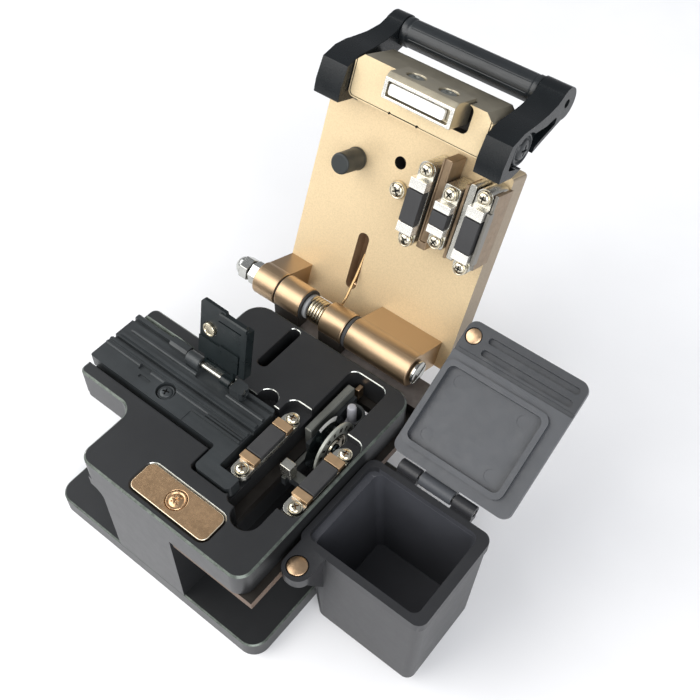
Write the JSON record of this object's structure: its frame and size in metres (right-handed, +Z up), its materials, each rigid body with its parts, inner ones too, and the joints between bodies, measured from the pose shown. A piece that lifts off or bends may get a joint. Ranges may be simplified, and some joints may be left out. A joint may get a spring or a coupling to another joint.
{
  "type": "optical fibre cleaver",
  "caption": "Optical fibre cleaver with a sprung lid, fibre guide, rubber anvils and clamps, sliding blade carriage and a lidded scrap bin.",
  "frame": {"origin": "middle of the foot's flat bottom face", "axes": "+X towards the scrap bin, +Y towards the lid hinge, +Z up from the bench"},
  "size_m": [0.1162, 0.135, 0.1138],
  "materials": {
    "black_paint": "satin black paint on cast metal",
    "bronze": "bronze anodised",
    "champagne": "champagne anodised, fine bead blast",
    "gunmetal": "dark satin",
    "grey_metal": "machined",
    "steel": "bright plated",
    "nickel": "nickel plate with a warm cast",
    "rubber": "matte black",
    "black_plastic": "fine moulded texture",
    "nylon": "moulded"
  },
  "bodies": {
    "base": {"body_frame": "black_paint", "base_block": "bronze", "striker_plate": "nickel", "striker_screw": "steel", "guide_block": "gunmetal", "guide_screw": "steel", "flap_pin": "steel", "left_anvil": "nickel", "left_anvil_pad": "rubber", "left_anvil_screw_front": "steel", "left_anvil_screw_rear": "steel", "right_anvil": "nickel", "right_anvil_pad": "rubber", "right_anvil_screw_front": "steel", "right_anvil_screw_rear": "steel", "hinge_shaft": "steel", "acorn_nut": "steel", "jam_nut": "steel", "end_washer": "rubber", "spring_bushing": "nylon", "scrap_bin": "black_plastic", "bin_magnet": "nickel", "bin_hinge_pin": "steel"},
    "lid": {"lid_plate": "champagne", "lid_cap": "champagne", "latch_block": "champagne", "latch_magnet": "steel", "latch_screw_left": "steel", "latch_screw_right": "steel", "lid_bumper": "rubber", "lid_screw": "steel", "clamp_bracket": "champagne", "clamp_side_plate": "grey_metal", "handle_arm_left": "black_plastic", "handle_arm_right": "black_plastic", "handle_bar": "rubber", "torsion_spring": "bronze", "clamp_1_holder": "grey_metal", "clamp_1_pad": "rubber", "clamp_1_screw_low": "steel", "clamp_1_screw_high": "steel", "clamp_2_holder": "grey_metal", "clamp_2_pad": "rubber", "clamp_2_screw_low": "steel", "clamp_2_screw_high": "steel", "clamp_3_holder": "grey_metal", "clamp_3_pad": "rubber", "clamp_3_screw_low": "steel", "clamp_3_screw_high": "steel"},
    "flap": {"fibre_flap": "gunmetal", "flap_magnet": "nickel"},
    "bin_lid": {"bin_lid": "black_plastic", "bin_lid_magnet": "nickel"},
    "carriage": {"blade_carriage": "gunmetal", "carriage_block": "grey_metal"},
    "blade": {"blade": "steel", "blade_dial": "grey_metal"},
    "lever": {"index_lever": "grey_metal"}
  },
  "joints": [
    {"name": "lid_hinge", "type": "hinge", "parent": "base", "child": "lid", "pos_m": [0.007, 0.042, 0.0468], "axis": [1, 0, 0], "range_deg": [0, 111.8], "stiffness_Nm_per_rad": 0.03, "springref_deg": -28.65},
    {"name": "flap_hinge", "type": "hinge", "parent": "base", "child": "flap", "pos_m": [-0.008, 0.0062, 0.0485], "axis": [1, 0, 0], "range_deg": [0, 101]},
    {"name": "bin_lid_hinge", "type": "hinge", "parent": "base", "child": "bin_lid", "pos_m": [0.0578, 0.0185, 0.0415], "axis": [1, 0, 0], "range_deg": [0, 149]},
    {"name": "carriage_slide", "type": "slide", "parent": "base", "child": "carriage", "axis": [0, -1, 0], "range_m": [0, 0.017]},
    {"name": "blade_index", "type": "hinge", "parent": "carriage", "child": "blade", "pos_m": [0.0266, 0.0128, 0.0384], "axis": [1, 0, 0], "continuous": true},
    {"name": "lever_tilt", "type": "hinge", "parent": "carriage", "child": "lever", "pos_m": [0.0266, 0.0226, 0.0369], "axis": [1, 0, 0], "range_deg": [0, 10], "stiffness_Nm_per_rad": 0.01, "springref_deg": -5.73}
  ],
  "couplings": [
    {"joint": "flap_hinge", "follows": "lid_hinge", "ratio": 0.903}
  ]
}
